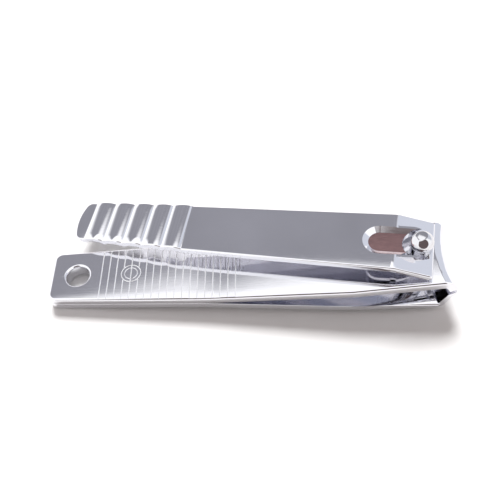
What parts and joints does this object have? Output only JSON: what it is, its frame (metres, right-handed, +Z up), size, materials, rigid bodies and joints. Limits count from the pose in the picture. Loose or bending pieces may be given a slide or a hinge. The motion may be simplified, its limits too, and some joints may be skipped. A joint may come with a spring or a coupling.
{
  "type": "nail clipper",
  "caption": "Lever nail clipper: riveted spring arms with curved cutting jaws, a turning ball-headed post and a ribbed thumb lever.",
  "frame": {"origin": "on the ground under the middle of the clipper's bounding box, with the clipper lying on its tail edge and on the foot of its post and the lever stored over the upper arm", "axes": "+X along the clipper towards the cutting jaws, +Z up, +Y to the side on which the stored lever stands out"},
  "size_m": [0.0799, 0.0248, 0.015],
  "materials": {
    "arms": "bright chrome plate, mirror polished",
    "lever": "bright chrome plate, mirror polished",
    "post": "chrome plate over a turned and pressed pin, less polished",
    "rivet": "chrome plate, pressed flush and polished with the arms"
  },
  "bodies": {
    "base": {"lower_arm": "arms", "upper_arm_tail": "arms", "tail_rivet": "rivet"},
    "upper_jaw": {"upper_arm_jaw": "arms"},
    "post": {"post": "post"},
    "lever": {"lever": "lever"}
  },
  "joints": [
    {"name": "jaw_close", "type": "hinge", "parent": "base", "child": "upper_jaw", "pos_m": [-0.01222, -0.0044, 0.00301], "axis": [0, 1, 0], "range_deg": [0, 1.05], "stiffness_Nm_per_rad": 1, "springref_deg": -2.86},
    {"name": "post_turn", "type": "hinge", "parent": "base", "child": "post", "pos_m": [0.03346, -0.0044, 0.00526], "axis": [-0.0492, 0, 0.9988], "continuous": true},
    {"name": "lever_lift", "type": "hinge", "parent": "post", "child": "lever", "pos_m": [0.03493, -0.00472, 0.01047], "axis": [0.1786, 0.9839, 0.0088], "range_deg": [0, 155]}
  ]
}
